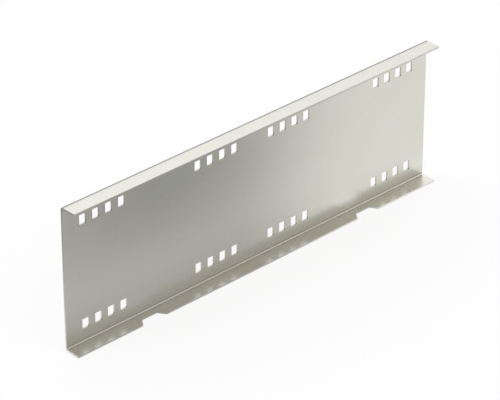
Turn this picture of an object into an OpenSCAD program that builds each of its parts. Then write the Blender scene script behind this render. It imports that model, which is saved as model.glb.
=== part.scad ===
// Side connector plate for a wide-span cable tray.
// One sheet is punched and folded to a C section: a tall web with a flange along its top and its bottom.
// Slots in the web take the bolts that join two tray side rails end to end.
// X runs along the plate, the flanges point to -Y, and +Z is up.
// The origin is the centre of the web's back face, the face that lies against the side rail.

/* [Plate] */
// Length of the plate
plate_length = 500; // [340:10:900]
// Height over both flanges
plate_height = 163; // [110:1:300]
// Width of the top flange, from the web's back face to the free edge
top_flange_w = 20; // [8:1:40]
// Width of the bottom flange, from the web's back face to the free edge
bottom_flange_w = 20; // [16:1:40]

/* [Sheet] */
// Thickness of the sheet
sheet_t = 2; // [1:0.1:3]
// Inner radius of each fold
fold_r = 1; // [0.3:0.1:3]

/* [Slots] */
// Number of slots in each group
slots_per_group = 4; // [1:1:5]
// Distance between neighbouring slots of a group, centre to centre
slot_pitch = 16.5; // [13:0.5:20]
// Width of a slot, along the plate
slot_w = 8.5; // [5:0.5:12]
// Height of a slot
slot_h = 11; // [6:0.5:16]
// Corner radius of a slot
slot_corner_r = 0.5; // [0.2:0.1:2.4]
// Distance from the plate's end to the centre of the nearest group
end_group_inset = 50; // [40:1:80]
// Distance between the centres of the two middle groups
middle_groups_gap = 100; // [80:1:180]
// Distance from the plate's top to the centreline of the top row
top_row_inset = 22.8; // [15:0.1:40]
// Distance from the plate's bottom to the centreline of the bottom row
bottom_row_inset = 21.8; // [15:0.1:40]

/* [Notches] */
// Distance between the centres of the two notches in the bottom flange
notch_gap = 300; // [60:5:420]
// Width of a notch at its root
notch_root_w = 20; // [6:1:30]
// Width of a notch at the flange's free edge
notch_mouth_w = 32; // [20:1:56]
// Depth of a notch, from the flange's free edge
notch_depth = 9; // [3:0.5:11]

/* [Hidden] */
$fn = 96;

// How far each cutting shape runs past what it cuts
overshoot = 1;

fold_outer_r = fold_r + sheet_t;
widest_flange_w = max(top_flange_w, bottom_flange_w);
group_centres = [
    -(plate_length / 2 - end_group_inset),
    -middle_groups_gap / 2,
    middle_groups_gap / 2,
    plate_length / 2 - end_group_inset
];
row_heights = [
    plate_height / 2 - top_row_inset,
    -(plate_height / 2 - bottom_row_inset)
];

// What a round corner of radius r leaves over outside it, in the quadrant of +X and +Y
module corner_waste(r) {
    difference() {
        square(r + overshoot);
        circle(r);
    }
}

// Rectangle that ends at x = 0 and is centred on y = 0, with its two corners at x = 0 rounded
module round_backed(depth, height, r) {
    difference() {
        translate([-depth, -height / 2]) square([depth, height]);
        for (side = [0, 1]) {
            mirror([0, side]) translate([-r, height / 2 - r]) corner_waste(r);
        }
    }
}

// Section of the folded sheet, drawn with Y across the page and Z up it
module fold_section() {
    block_depth = widest_flange_w + overshoot;
    channel_height = plate_height - 2 * sheet_t;
    difference() {
        round_backed(block_depth, plate_height, fold_outer_r);
        translate([-sheet_t, 0]) round_backed(block_depth, channel_height, fold_r);
        translate([-block_depth - overshoot, 0])
            square([block_depth + overshoot - top_flange_w, plate_height]);
        translate([-block_depth - overshoot, -plate_height])
            square([block_depth + overshoot - bottom_flange_w, plate_height]);
    }
}

// Sheet folded along its whole length
module folded_sheet() {
    rotate([90, 0, 90]) linear_extrude(plate_length, center = true) fold_section();
}

// Cutter for one slot, through the web
module slot_cutter() {
    straight_w = slot_w - 2 * slot_corner_r;
    straight_h = slot_h - 2 * slot_corner_r;
    translate([0, overshoot, 0]) rotate([90, 0, 0]) linear_extrude(sheet_t + 2 * overshoot) {
        square([slot_w, straight_h], center = true);
        square([straight_w, slot_h], center = true);
        for (x = [-straight_w / 2, straight_w / 2], y = [-straight_h / 2, straight_h / 2]) {
            translate([x, y]) circle(slot_corner_r);
        }
    }
}

// Cutters for one group of slots, centred on its middle
module slot_group() {
    for (i = [0 : slots_per_group - 1]) {
        translate([(i - (slots_per_group - 1) / 2) * slot_pitch, 0, 0]) slot_cutter();
    }
}

// Cutter for one notch, centred on x = 0, with its root towards the web
module notch_cutter() {
    cut_depth = notch_depth + overshoot;
    spread = (notch_mouth_w - notch_root_w) / 2 * cut_depth / notch_depth;
    cut_height = sheet_t + 2 * overshoot;
    translate([0, notch_depth - bottom_flange_w, -plate_height / 2 - overshoot])
        linear_extrude(cut_height)
            polygon([
                [-notch_root_w / 2, 0],
                [-notch_root_w / 2 - spread, -cut_depth],
                [notch_root_w / 2 + spread, -cut_depth],
                [notch_root_w / 2, 0]
            ]);
}

module connector_plate() {
    color([0.78, 0.77, 0.73]) difference() {
        folded_sheet();
        for (x = group_centres, z = row_heights) {
            translate([x, 0, z]) slot_group();
        }
        for (x = [-notch_gap / 2, notch_gap / 2]) {
            translate([x, 0, 0]) notch_cutter();
        }
    }
}

connector_plate();
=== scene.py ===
"""Looks for the folded connector plate: satin steel, a white studio floor and the photograph's view.

Every length is in metres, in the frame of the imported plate: X along it, flanges to -Y, Z up.
"""

import math

import bpy
from mathutils import Matrix, Vector


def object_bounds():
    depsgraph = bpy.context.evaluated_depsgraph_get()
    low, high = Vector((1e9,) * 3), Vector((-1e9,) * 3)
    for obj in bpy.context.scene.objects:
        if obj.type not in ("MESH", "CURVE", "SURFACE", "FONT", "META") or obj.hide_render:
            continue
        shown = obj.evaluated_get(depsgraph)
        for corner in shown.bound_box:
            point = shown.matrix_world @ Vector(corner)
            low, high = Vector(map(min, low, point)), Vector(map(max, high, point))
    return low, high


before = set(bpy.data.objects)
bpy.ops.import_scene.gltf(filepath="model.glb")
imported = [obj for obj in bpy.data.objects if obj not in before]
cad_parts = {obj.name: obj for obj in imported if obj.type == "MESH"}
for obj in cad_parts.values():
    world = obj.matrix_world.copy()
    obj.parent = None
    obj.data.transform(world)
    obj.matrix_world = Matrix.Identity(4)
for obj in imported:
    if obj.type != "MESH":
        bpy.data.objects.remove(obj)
cad_low, cad_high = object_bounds()

PLATE = "connector_plate"

# Camera: the direction it looks in, what it looks at and how far away it stands
VIEW_AZIMUTH = math.radians(-43.34)
VIEW_ELEVATION = math.radians(30.53)
VIEW_ROLL = math.radians(0.036)
VIEW_TARGET = Vector((-0.002, 0.0, -0.0112))
VIEW_DISTANCE = 3.1573
LENS_MM = 224.25
SENSOR_MM = 36.0


def add_node(tree, kind, **settings):
    """New node of that kind, with its plain settings applied."""
    node = tree.nodes.new(kind)
    for name, value in settings.items():
        setattr(node, name, value)
    return node


def feed(tree, socket, source):
    """Gives a socket another node's output, a colour in three parts or a value. None changes nothing."""
    if isinstance(source, bpy.types.NodeSocket):
        tree.links.new(source, socket)
    elif socket.type == "RGBA":
        socket.default_value = (*source, 1.0)
    elif source is not None:
        socket.default_value = source


def math_node(tree, operation, first, second=None, third=None):
    """Result of a Math node: one, two or three values, as the operation needs."""
    node = add_node(tree, "ShaderNodeMath", operation=operation)
    for socket, source in zip(node.inputs, (first, second, third)):
        feed(tree, socket, source)
    return node.outputs[0]


def vector_node(tree, operation, first, second=None):
    """Result of a Vector Math node: a number for a dot product or a length, else a vector."""
    node = add_node(tree, "ShaderNodeVectorMath", operation=operation)
    feed(tree, node.inputs[0], first)
    feed(tree, node.inputs[1], second)
    return node.outputs["Value" if operation in ("DOT_PRODUCT", "LENGTH") else "Vector"]


def split_vector(tree, vector):
    """The three parts of a vector."""
    node = add_node(tree, "ShaderNodeSeparateXYZ")
    feed(tree, node.inputs[0], vector)
    return node.outputs["X"], node.outputs["Y"], node.outputs["Z"]


def join_vector(tree, x, y, z=None):
    """Vector with those parts."""
    node = add_node(tree, "ShaderNodeCombineXYZ")
    for socket, source in zip(node.inputs, (x, y, z)):
        feed(tree, socket, source)
    return node.outputs[0]


def smooth_step(tree, value, start, end, low=0.0, high=1.0):
    """Smooth change from low to high as value goes from start to end."""
    node = add_node(tree, "ShaderNodeMapRange", interpolation_type="SMOOTHSTEP")
    feed(tree, node.inputs["Value"], value)
    feed(tree, node.inputs["From Min"], start)
    feed(tree, node.inputs["From Max"], end)
    feed(tree, node.inputs["To Min"], low)
    feed(tree, node.inputs["To Max"], high)
    return node.outputs["Result"]


# Sockets of a Mix node for each kind of value: the two that it mixes, and the result
MIX_SOCKETS = {"FLOAT": (2, 3, 0), "VECTOR": (4, 5, 1), "RGBA": (6, 7, 2)}


def mix(tree, kind, factor, low, high):
    """Value of that kind between low and high, as factor goes from 0 to 1."""
    node = add_node(tree, "ShaderNodeMix", data_type=kind)
    first, second, result = MIX_SOCKETS[kind]
    feed(tree, node.inputs[0], factor)
    feed(tree, node.inputs[first], low)
    feed(tree, node.inputs[second], high)
    return node.outputs[result]


def mix_value(tree, factor, low, high):
    """Number between low and high, as factor goes from 0 to 1."""
    return mix(tree, "FLOAT", factor, low, high)


def mix_colour(tree, factor, low, high):
    """Colour between low and high, as factor goes from 0 to 1."""
    return mix(tree, "RGBA", factor, low, high)


def mix_shaders(tree, factor, low, high):
    """Shader between low and high, as factor goes from 0 to 1."""
    node = add_node(tree, "ShaderNodeMixShader")
    for socket, source in zip(node.inputs, (factor, low, high)):
        feed(tree, socket, source)
    return node.outputs[0]


def glow(tree, colour):
    """Shader that gives off that colour."""
    node = add_node(tree, "ShaderNodeEmission")
    feed(tree, node.inputs["Color"], colour)
    return node.outputs[0]


def set_surface(tree, shader, output_kind="ShaderNodeOutputMaterial"):
    """Makes that shader the surface of the tree's owner."""
    output = add_node(tree, output_kind)
    feed(tree, output.inputs["Surface"], shader)


# Raw noise mostly lies between these, and is spread from there
NOISE_SPREAD = (0.3, 0.7)


def noise(tree, vector, scale, detail, low=0.0, high=1.0):
    """Noise of about scale features a metre, with that many finer layers, spread over low to high."""
    node = add_node(tree, "ShaderNodeTexNoise")
    feed(tree, node.inputs["Vector"], vector)
    feed(tree, node.inputs["Scale"], scale)
    feed(tree, node.inputs["Detail"], detail)
    return smooth_step(tree, node.outputs["Fac"], *NOISE_SPREAD, low, high)


def grey(level):
    """Grey of that level."""
    return (level, level, level)


WHITE = grey(1.0)


def new_tree(owner):
    """Empty node tree of a material or the world."""
    owner.use_nodes = True
    owner.node_tree.nodes.clear()
    return owner.node_tree


def make_sheet(name, corners, material_name):
    """Flat piece of the stage with four corners, and the empty node tree of its material."""
    mesh = bpy.data.meshes.new(name)
    mesh.from_pydata(corners, [], [(0, 1, 2, 3)])
    sheet = bpy.data.objects.new(name, mesh)
    bpy.context.scene.collection.objects.link(sheet)
    material = bpy.data.materials.new(material_name)
    mesh.materials.append(material)
    return sheet, new_tree(material)


def make_camera():
    """Long lens, in front of the plate's left end and above it."""
    camera = bpy.data.objects.new("camera", bpy.data.cameras.new("camera"))
    bpy.context.scene.collection.objects.link(camera)
    camera.data.lens = LENS_MM
    camera.data.sensor_width = SENSOR_MM
    turn = (
        Matrix.Rotation(VIEW_AZIMUTH, 4, "Z")
        @ Matrix.Rotation(math.pi / 2 - VIEW_ELEVATION, 4, "X")
        @ Matrix.Rotation(VIEW_ROLL, 4, "Z")
    )
    back = turn @ Vector((0, 0, 1))
    camera.matrix_world = Matrix.Translation(VIEW_TARGET + back * VIEW_DISTANCE) @ turn
    bpy.context.scene.camera = camera


def toward(azimuth, elevation):
    """Unit vector of a direction, with azimuth counted from +Y towards +X, in degrees."""
    a, e = math.radians(azimuth), math.radians(elevation)
    return (math.sin(a) * math.cos(e), math.cos(a) * math.cos(e), math.sin(e))


# Soft panels of the studio: direction, half angles in degrees within which a panel is full and at which
# it ends, and colour. Each lies over the ones before it.
STUDIO_PANELS = (
    (toward(40, 4), 14, 24, grey(0.03)),
    (toward(156, 28), 16, 28, (0.9, 0.855, 0.845)),
    (toward(255, 40), 24, 42, grey(1.05)),
    (toward(322, 28), 32, 44, grey(0.03)),
    (toward(48, 58), 29, 40, (1.64, 1.64, 1.67)),
)
HORIZON_COLOUR = (0.43, 0.41, 0.40)
ZENITH_LEVEL = 1.0
# Heights on the unit sphere between which the horizon's colour gives way to the zenith's
ZENITH_FADE = (0.6, 1.0)


def make_world():
    """White to the camera and to matt surfaces. Metal sees a dim horizon, a bright top and the panels."""
    world = bpy.data.worlds.new("studio")
    bpy.context.scene.world = world
    tree = new_tree(world)
    direction = add_node(tree, "ShaderNodeTexCoord").outputs["Generated"]
    height = smooth_step(tree, split_vector(tree, direction)[2], *ZENITH_FADE)
    seen = mix_colour(tree, height, HORIZON_COLOUR, grey(ZENITH_LEVEL))
    for centre, full, end, colour in STUDIO_PANELS:
        closeness = vector_node(tree, "DOT_PRODUCT", direction, centre)
        start, stop = math.cos(math.radians(end)), math.cos(math.radians(full))
        seen = mix_colour(tree, smooth_step(tree, closeness, start, stop), seen, colour)
    path = add_node(tree, "ShaderNodeLightPath")
    shown = mix_colour(tree, path.outputs["Is Glossy Ray"], WHITE, seen)
    background = add_node(tree, "ShaderNodeBackground")
    feed(tree, background.inputs["Color"], shown)
    set_surface(tree, background.outputs[0], "ShaderNodeOutputWorld")


# Floor as the metal sees it, a glow that only reflections show and so a painted reflection, in strips
# along the
# plate: the level of each at the left and at the right. The first five lie before the plate and below it,
# and the last four behind it. The foot strip, darker at the left, and the notch strip are painted shadow
# of the plate.
FLOOR_FAR = (0.63, 0.63)
FLOOR_FRONT = (0.71, 1.09)
FLOOR_FOOT_SHADOW = (0.58, 1.09)
FLOOR_TOE = (0.70, 1.35)
FLOOR_NOTCH_SHADOW = (0.50, 0.75)
FLOOR_BEHIND = (1.36, 0.88)
FLOOR_BACK = (0.34, 1.1)
FLOOR_BACK_FAR = (0.2, 0.4)
FLOOR_BACK_END = (0.6, 0.6)
# Values of Y over which one strip gives way to the next
FAR_TO_FRONT = (-1.4, -0.2)
FRONT_TO_FOOT = (-0.075, -0.032)
FOOT_TO_TOE = (-0.030, -0.022)
TOE_TO_NOTCH = (-0.021, -0.019)
NOTCH_TO_BEHIND = (-0.005, 0.005)
BEHIND_TO_BACK = (0.0, 0.16)
BACK_TO_BACK_FAR = (0.14, 0.27)
BACK_FAR_TO_BACK_END = (0.35, 0.75)
# What the plate shows at x comes from the floor where X + FLOOR_SLANT * Y is x
FLOOR_SLANT = 0.943
# Places along the plate over which the left gives way to the right, before it and behind it
LEFT_TO_RIGHT_BEFORE = (-0.048, 0.153)
LEFT_TO_RIGHT_BEHIND = (-0.25, -0.09)
# Past the plate's left end, the strips behind it begin this much farther forward
BEHIND_REACH = 0.04
BEHIND_REACH_FADE = 0.002
# Past its right end, the strip below the notches has this one level, after a change over twice the fade
FLOOR_BESIDE = 1.05
BESIDE_FADE = 0.003
# Dim patch of the floor before the plate's left half: its centre and its half sizes, each as a place
# along the plate and a Y, and the share of the light that is left at the centre
DIM_PATCH = (-0.14, -0.212)
DIM_PATCH_HALF = (0.30, 0.18)
DIM_PATCH_SHARE = 0.41
# Side of the floor, and the share of its white that can take a shadow
FLOOR_SIZE = 30.0
SHADOW_SHARE = 0.2


def floor_strips(tree, y, rightness, first, later):
    """Level of the floor over its strips: the first one's, and each later one's past its span of Y."""
    level = mix_value(tree, rightness, *first)
    for span, levels in later:
        strip = mix_value(tree, rightness, *levels)
        level = mix_value(tree, smooth_step(tree, y, *span), level, strip)
    return level


def floor_reflection(tree):
    """Glow that metal sees in the floor, with painted shadow by the plate: a smooth pattern over its own X
    and Y.
    """
    x, y, _ = split_vector(tree, add_node(tree, "ShaderNodeTexCoord").outputs["Object"])
    along = math_node(tree, "MULTIPLY_ADD", y, FLOOR_SLANT, x)

    rightness = smooth_step(tree, along, *LEFT_TO_RIGHT_BEFORE)
    later = (
        (FAR_TO_FRONT, FLOOR_FRONT),
        (FRONT_TO_FOOT, FLOOR_FOOT_SHADOW),
        (FOOT_TO_TOE, FLOOR_TOE),
        (TOE_TO_NOTCH, FLOOR_NOTCH_SHADOW),
    )
    front = floor_strips(tree, y, rightness, FLOOR_FAR, later)
    beside = smooth_step(tree, x, cad_high.x - BESIDE_FADE, cad_high.x + BESIDE_FADE)
    beside = math_node(tree, "MULTIPLY", beside, smooth_step(tree, y, *TOE_TO_NOTCH))
    front = mix_value(tree, beside, front, FLOOR_BESIDE)
    offset = vector_node(tree, "SUBTRACT", join_vector(tree, along, y), (*DIM_PATCH, 0))
    from_patch = vector_node(tree, "LENGTH", vector_node(tree, "DIVIDE", offset, (*DIM_PATCH_HALF, 1)))
    dimmed = smooth_step(tree, from_patch, 0.0, 1.0, DIM_PATCH_SHARE, 1.0)
    front = math_node(tree, "MULTIPLY", front, dimmed)

    rightness = smooth_step(tree, along, *LEFT_TO_RIGHT_BEHIND)
    later = (
        (BEHIND_TO_BACK, FLOOR_BACK),
        (BACK_TO_BACK_FAR, FLOOR_BACK_FAR),
        (BACK_FAR_TO_BACK_END, FLOOR_BACK_END),
    )
    back = floor_strips(tree, y, rightness, FLOOR_BEHIND, later)

    forward = smooth_step(tree, x, cad_low.x - BEHIND_REACH_FADE, cad_low.x, BEHIND_REACH, 0.0)
    behind = smooth_step(tree, math_node(tree, "ADD", y, forward), *NOTCH_TO_BEHIND)
    return mix_value(tree, behind, front, back)


# Soft card that stands before the plate's right end and shows only in the metal: its Y, the X and Z of its
# lowest left and highest right corners, and the spans over which its left, bottom and top fade
CARD_Y = -0.6
CARD_LOW = (0.4, -0.08)
CARD_HIGH = (2.2, 0.95)
CARD_LEFT_FADE = (0.633, 0.883)
CARD_BOTTOM_FADE = (-0.05, -0.02)
CARD_TOP_FADE = (0.33, 0.93)
CARD_COLOUR = (1.36, 1.31, 1.28)


def make_card():
    """Standing card with soft edges, for the warm light in the folds."""
    (x0, z0), (x1, z1) = CARD_LOW, CARD_HIGH
    corners = [(x0, CARD_Y, z0), (x1, CARD_Y, z0), (x1, CARD_Y, z1), (x0, CARD_Y, z1)]
    card, tree = make_sheet("card", corners, "soft_card")
    card.visible_camera = False
    card.visible_diffuse = False
    card.visible_shadow = False

    x, _, z = split_vector(tree, add_node(tree, "ShaderNodeTexCoord").outputs["Object"])
    solid = smooth_step(tree, x, *CARD_LEFT_FADE)
    solid = math_node(tree, "MULTIPLY", solid, smooth_step(tree, z, *CARD_BOTTOM_FADE))
    solid = math_node(tree, "MULTIPLY", solid, smooth_step(tree, z, *CARD_TOP_FADE, 1.0, 0.0))
    clear = add_node(tree, "ShaderNodeBsdfTransparent").outputs[0]
    set_surface(tree, mix_shaders(tree, solid, clear, glow(tree, CARD_COLOUR)))


def make_floor():
    """White floor that keeps a faint shadow. It is clear from below."""
    half = FLOOR_SIZE / 2
    corners = [(-half, -half, 0), (half, -half, 0), (half, half, 0), (-half, half, 0)]
    floor, tree = make_sheet("floor", corners, "white_floor")
    floor.location.z = cad_low.z

    paint = add_node(tree, "ShaderNodeBsdfDiffuse")
    feed(tree, paint.inputs["Color"], WHITE)
    shown = mix_shaders(tree, SHADOW_SHARE, glow(tree, WHITE), paint.outputs[0])
    # Reflections see a glow here instead of the lit floor: a painted reflection, with painted shadow by
    # the plate
    reflected = glow(tree, floor_reflection(tree))
    path = add_node(tree, "ShaderNodeLightPath")
    either = mix_shaders(tree, path.outputs["Is Glossy Ray"], shown, reflected)
    clear = add_node(tree, "ShaderNodeBsdfTransparent").outputs[0]
    below = add_node(tree, "ShaderNodeNewGeometry").outputs["Backfacing"]
    set_surface(tree, mix_shaders(tree, below, either, clear))


# Outer radius of the folds, as the solid has it
FOLD_OUTER_R = 0.003
# Depth in the sheet, from its outside, over which the outside of a fold gives way to its inside
MID_SHEET = (0.0011, 0.0015)
# Depth over which a cut edge goes from the zone that the punch wiped to the zone that broke away, and
# how far that line strays
BREAK_DEPTH = (0.00062, 0.00078)
BREAK_RAGGEDNESS = 0.00018
# How much farther a point is from the back than from its flange's outside, where the web's part of a
# fold's inside gives way to the flange's
FOLD_SIDE = (-0.0002, 0.0004)
# How squarely a surface faces out of the sheet: where a cut edge ends and where a face begins
CUT_END = (0.1, 0.4)
FACE_START = (0.9, 0.99)
# Distances past a fold over which its painted shade outside and its painted highlight inside end, and over
# which the painted shade line on the web beside it begins and ends
BENT_SHADE_FADE = (0.0004, 0.0018)
PRESSED_HIGHLIGHT_FADE = (-0.0004, 0.0)
SHOULDER_SHADE_START = (-0.0006, 0.0)
SHOULDER_SHADE_END = (0.0010, 0.0030)

# Steel colours: rolled face, its stains and its long scratches
STEEL_COLOUR = (0.63, 0.63, 0.574)
STAIN_COLOUR = (0.615, 0.611, 0.548)
SCRATCH_COLOUR = (0.585, 0.585, 0.525)
# Cut edges: where the punch wiped them, where they broke, the fine lines across them and their arrises,
# which are worn and brightened partly as a painted highlight
CUT_COLOUR = (0.66, 0.66, 0.61)
BREAK_COLOUR = (0.585, 0.58, 0.54)
STRIATION_COLOUR = (0.375, 0.368, 0.338)
ARRIS_WEAR_AND_HIGHLIGHT_COLOUR = (0.675, 0.675, 0.63)
# Folds: painted shade outside, a painted highlight inside and a painted shade line beside the inside
BENT_SHADE_COLOUR = (0.35, 0.35, 0.32)
PRESSED_HIGHLIGHT_COLOUR = (0.77, 0.78, 0.70)
SHOULDER_SHADE_COLOUR = (0.51, 0.51, 0.465)

# How much of its own colour each mark shows where it is full
STAIN_SHARE = 0.6
SCRATCH_SHARE = 0.12
STRIATION_SHARE = 0.25
ARRIS_SHARE = 0.5

# Roughness of the faces, what the grain, the smudges and the folds add to it, and that of the cut edges
# where they were wiped and where they broke
FACE_ROUGHNESS = 0.265
GRAIN_ROUGHNESS = 0.05
SMUDGE_ROUGHNESS = 0.02
FOLD_ROUGHNESS = -0.07
EDGE_ROUGHNESS = (0.32, 0.48)
# Fine relief: its height and strength, and how much of it the grain on the faces has
RELIEF_HEIGHT = 0.00002
RELIEF_STRENGTH = 0.35
GRAIN_RELIEF = 0.25

# Noises: features a metre, and finer layers
GRAIN_NOISE = (2600.0, 3.0)
SCRATCH_NOISE = (420.0, 2.0)
CLOUD_NOISE = (11.0, 3.0)
SMUDGE_NOISE = (34.0, 4.0)
STRIATION_NOISE = (5200.0, 2.0)
RAGGED_NOISE = (1900.0, 2.0)
# Width over length of the lines that three of them draw
GRAIN_STRETCH = 0.02
SCRATCH_STRETCH = 0.012
STRIATION_STRETCH = 0.12


def sheet_masks(tree, place):
    """Depth in the sheet, distance past a fold, and masks of flange, web, cut edges and arrises."""
    _, y, z = split_vector(tree, place)
    nx, ny, nz = split_vector(tree, add_node(tree, "ShaderNodeNewGeometry").outputs["True Normal"])
    below_top = math_node(tree, "SUBTRACT", cad_high.z, math_node(tree, "ABSOLUTE", z))
    before_back = math_node(tree, "MULTIPLY", y, -1.0)
    depth = math_node(tree, "MINIMUM", before_back, below_top)
    from_fold = math_node(tree, "MAXIMUM", before_back, below_top)
    from_fold = math_node(tree, "SUBTRACT", from_fold, FOLD_OUTER_R)
    on_flange = smooth_step(tree, math_node(tree, "SUBTRACT", before_back, below_top), *FOLD_SIDE)

    in_web = math_node(tree, "GREATER_THAN", below_top, FOLD_OUTER_R)
    in_flange = math_node(tree, "GREATER_THAN", before_back, FOLD_OUTER_R)
    off_end = math_node(tree, "SUBTRACT", 1.0, math_node(tree, "MULTIPLY", nx, nx))
    outward = math_node(tree, "SQRT", off_end)
    outward = mix_value(tree, in_flange, outward, math_node(tree, "ABSOLUTE", nz))
    outward = mix_value(tree, in_web, outward, math_node(tree, "ABSOLUTE", ny))
    cut = smooth_step(tree, outward, *CUT_END, 1.0, 0.0)
    on_face = smooth_step(tree, outward, *FACE_START)
    arris = math_node(tree, "SUBTRACT", math_node(tree, "SUBTRACT", 1.0, cut), on_face)
    return depth, from_fold, on_flange, in_web, cut, arris


def shared(tree, mask, share):
    """Mask weakened to that share."""
    return math_node(tree, "MULTIPLY", mask, share)


def make_steel():
    """Satin rolled sheet with a grain along X, punched edges, and worked folds with painted shade and
    highlights.
    """
    material = bpy.data.materials.new("plate_steel")
    tree = new_tree(material)
    place = add_node(tree, "ShaderNodeTexCoord").outputs["Object"]
    depth, from_fold, on_flange, in_web, cut, arris = sheet_masks(tree, place)

    grain_place = vector_node(tree, "MULTIPLY", place, (GRAIN_STRETCH, 1.0, 1.0))
    grain = noise(tree, grain_place, *GRAIN_NOISE)
    scratch_place = vector_node(tree, "MULTIPLY", place, (SCRATCH_STRETCH, 1.0, 1.0))
    scratches = noise(tree, scratch_place, *SCRATCH_NOISE)
    cloud = noise(tree, place, *CLOUD_NOISE)
    smudge = noise(tree, place, *SMUDGE_NOISE)

    through_web = vector_node(tree, "MULTIPLY", place, (1.0, STRIATION_STRETCH, 1.0))
    through_flange = vector_node(tree, "MULTIPLY", place, (1.0, 1.0, STRIATION_STRETCH))
    through_sheet = mix(tree, "VECTOR", in_web, through_flange, through_web)
    striation = noise(tree, through_sheet, *STRIATION_NOISE)
    ragged = noise(tree, place, *RAGGED_NOISE, -BREAK_RAGGEDNESS, BREAK_RAGGEDNESS)
    broken = smooth_step(tree, math_node(tree, "ADD", depth, ragged), *BREAK_DEPTH)

    inside = smooth_step(tree, depth, *MID_SHEET)
    # Painted shade: the outside of each fold is darkened, and the same mask lowers the roughness there
    bent_shade = smooth_step(tree, from_fold, *BENT_SHADE_FADE, 1.0, 0.0)
    bent_shade = mix_value(tree, inside, bent_shade, 0.0)
    # Painted highlight: the inside of each fold, on the flange's side, is brightened; the same mask lowers
    # its roughness
    pressed_highlight = smooth_step(tree, from_fold, *PRESSED_HIGHLIGHT_FADE, 1.0, 0.0)
    flange_inside = math_node(tree, "MULTIPLY", inside, on_flange)
    web_inside = math_node(tree, "SUBTRACT", inside, flange_inside)
    pressed_highlight = math_node(tree, "MULTIPLY", pressed_highlight, flange_inside)
    # Painted shade: a darker line on the web beside the inside of each fold
    shoulder_shade = smooth_step(tree, from_fold, *SHOULDER_SHADE_START)
    shoulder_shade = math_node(tree, "MULTIPLY", web_inside, shoulder_shade)
    shoulder_shade_end = smooth_step(tree, from_fold, *SHOULDER_SHADE_END, 1.0, 0.0)
    shoulder_shade = math_node(tree, "MULTIPLY", shoulder_shade, shoulder_shade_end)

    face = mix_colour(tree, shared(tree, cloud, STAIN_SHARE), STEEL_COLOUR, STAIN_COLOUR)
    face = mix_colour(tree, shared(tree, scratches, SCRATCH_SHARE), face, SCRATCH_COLOUR)
    # Painted light at the folds: shade outside, a shade line beside the inside and a highlight inside
    face = mix_colour(tree, bent_shade, face, BENT_SHADE_COLOUR)
    face = mix_colour(tree, shoulder_shade, face, SHOULDER_SHADE_COLOUR)
    face = mix_colour(tree, pressed_highlight, face, PRESSED_HIGHLIGHT_COLOUR)
    edge = mix_colour(tree, broken, CUT_COLOUR, BREAK_COLOUR)
    edge = mix_colour(tree, shared(tree, striation, STRIATION_SHARE), edge, STRIATION_COLOUR)
    colour = mix_colour(tree, cut, face, edge)
    # Arrises: worn, and brightened partly as a painted edge highlight
    colour = mix_colour(tree, shared(tree, arris, ARRIS_SHARE), colour, ARRIS_WEAR_AND_HIGHLIGHT_COLOUR)

    face_rough = math_node(tree, "MULTIPLY_ADD", grain, GRAIN_ROUGHNESS, FACE_ROUGHNESS)
    face_rough = math_node(tree, "MULTIPLY_ADD", smudge, SMUDGE_ROUGHNESS, face_rough)
    worked = math_node(tree, "MAXIMUM", bent_shade, pressed_highlight)
    face_rough = math_node(tree, "MULTIPLY_ADD", worked, FOLD_ROUGHNESS, face_rough)
    rough = mix_value(tree, cut, face_rough, mix_value(tree, broken, *EDGE_ROUGHNESS))

    relief = mix_value(tree, cut, shared(tree, grain, GRAIN_RELIEF), striation)
    bump = add_node(tree, "ShaderNodeBump")
    bump.inputs["Strength"].default_value = RELIEF_STRENGTH
    bump.inputs["Distance"].default_value = RELIEF_HEIGHT
    feed(tree, bump.inputs["Height"], relief)

    steel = add_node(tree, "ShaderNodeBsdfPrincipled")
    steel.inputs["Metallic"].default_value = 1.0
    feed(tree, steel.inputs["Base Color"], colour)
    feed(tree, steel.inputs["Roughness"], rough)
    feed(tree, steel.inputs["Normal"], bump.outputs[0])
    set_surface(tree, steel.outputs[0])
    return material


# Rounds on the cut edges: corners this close are joined, faces within the first angle become one, and
# edges sharper than the second angle get a round of this size and this many flats. The faces beside them
# keep their flat shading by this weight.
WELD_DISTANCE = 0.000001
FLAT_ANGLE = math.radians(1)
SHARP_ANGLE = math.radians(40)
EDGE_ROUND = 0.00018
ROUND_SEGMENTS = 2
FACE_WEIGHT = 50


def dress_plate():
    """Steel on the plate, and a small round on its cut edges."""
    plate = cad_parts[PLATE]
    plate.data.materials.clear()
    plate.data.materials.append(make_steel())
    weld = plate.modifiers.new("joined_corners", "WELD")
    weld.merge_threshold = WELD_DISTANCE
    flats = plate.modifiers.new("whole_faces", "DECIMATE")
    flats.decimate_type = "DISSOLVE"
    flats.angle_limit = FLAT_ANGLE
    rounds = plate.modifiers.new("edge_rounds", "BEVEL")
    rounds.width = EDGE_ROUND
    rounds.segments = ROUND_SEGMENTS
    rounds.limit_method = "ANGLE"
    rounds.angle_limit = SHARP_ANGLE
    normals = plate.modifiers.new("face_normals", "WEIGHTED_NORMAL")
    normals.weight = FACE_WEIGHT


scene = bpy.context.scene
scene.view_settings.view_transform = "Standard"
make_camera()
make_world()
make_floor()
make_card()
dress_plate()
